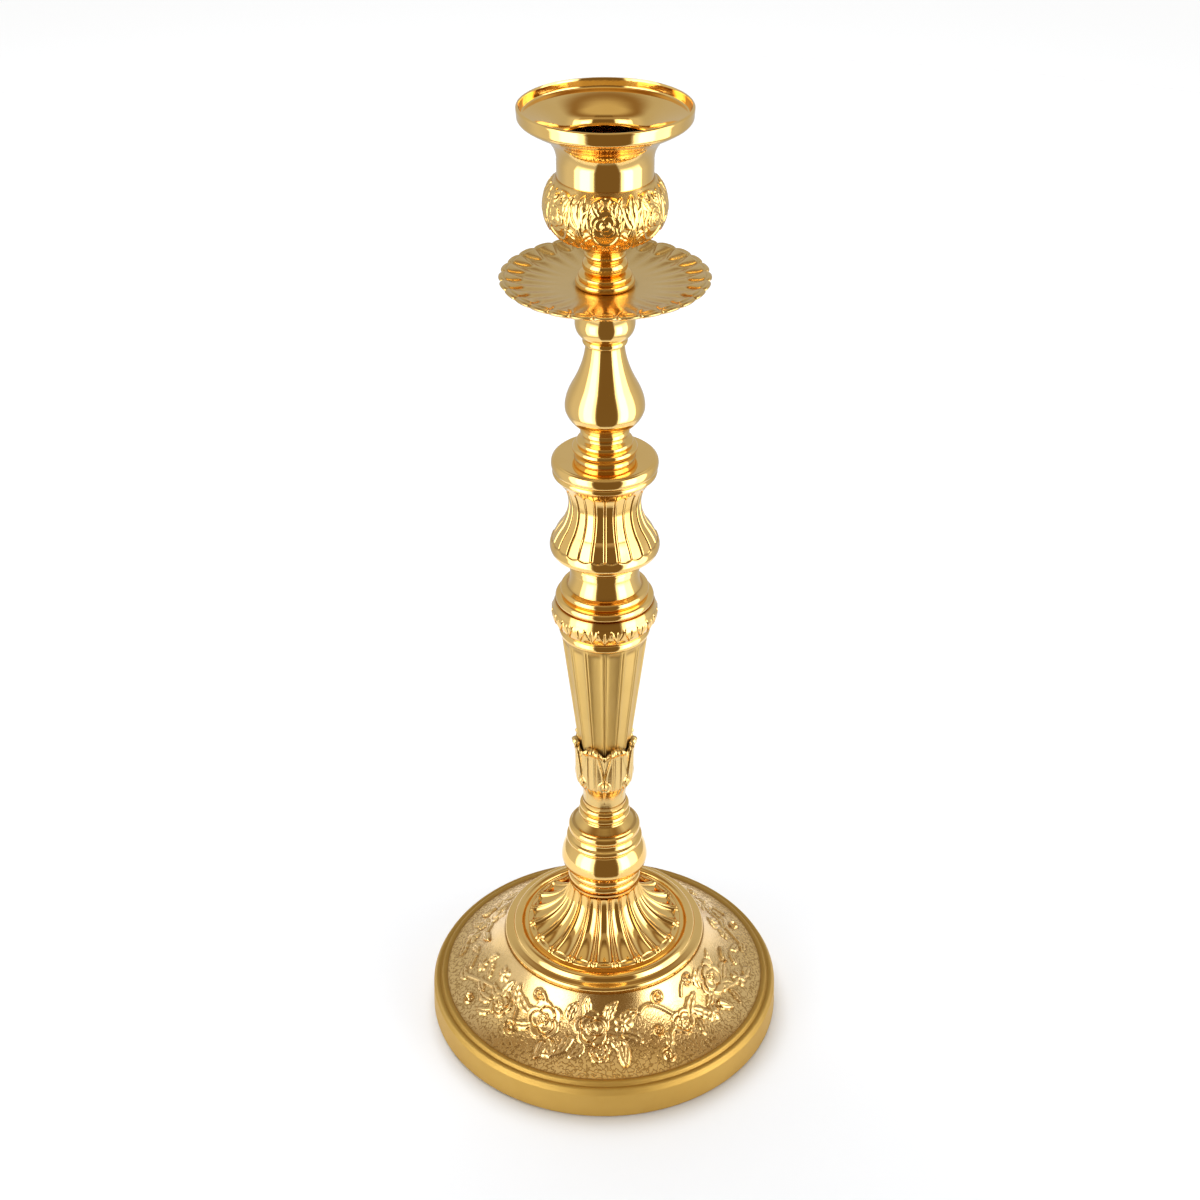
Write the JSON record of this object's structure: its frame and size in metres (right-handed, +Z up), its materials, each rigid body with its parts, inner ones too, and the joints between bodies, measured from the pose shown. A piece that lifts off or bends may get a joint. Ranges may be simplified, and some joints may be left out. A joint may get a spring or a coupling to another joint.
{
  "type": "altar candlestick",
  "caption": "Tall altar candlestick: turned and fluted stem on a round embossed foot, with a lobed drip pan, an embossed cup and a lift-out nozzle with a wide rim.",
  "frame": {"origin": "on the table, under the middle of the foot", "axes": "+Z up along the rod; the object is round about it, so +X and +Y are free"},
  "size_m": [0.1156, 0.1156, 0.31],
  "materials": {
    "polished_gold": "polished gold plate on brass",
    "satin_gold": "satin gold plate on brass",
    "embossed_gold": "embossed and stippled gold plate on brass",
    "zinc_steel": "zinc plated steel",
    "cast_iron": "raw cast iron",
    "green_felt": "glued wool felt"
  },
  "bodies": {
    "candlestick": {"felt_pad": "green_felt", "bottom_plate": "zinc_steel", "foot_weight": "cast_iron", "rod_nut": "zinc_steel", "lock_washer": "zinc_steel", "flat_washer": "zinc_steel", "tie_rod": "zinc_steel", "foot": "embossed_gold", "seat_ring": "polished_gold", "fluted_boss": "polished_gold", "lower_collar": "polished_gold", "lower_knop": "polished_gold", "knop_cap": "polished_gold", "leaf_cup": "polished_gold", "column": "satin_gold", "leaf_band": "polished_gold", "column_collar": "polished_gold", "spool_neck": "polished_gold", "spool": "polished_gold", "spool_disc": "polished_gold", "ring_collar": "polished_gold", "baluster": "polished_gold", "pan_collar": "polished_gold", "drip_pan": "satin_gold", "cup_stem": "polished_gold", "cup_bowl": "embossed_gold", "cup_washer": "zinc_steel", "cup_nut": "zinc_steel"},
    "nozzle": {"nozzle": "polished_gold"}
  },
  "joints": [
    {"name": "nozzle_lift", "type": "slide", "parent": "candlestick", "child": "nozzle", "axis": [0, 0, 1], "range_m": [0, 0.03]}
  ]
}
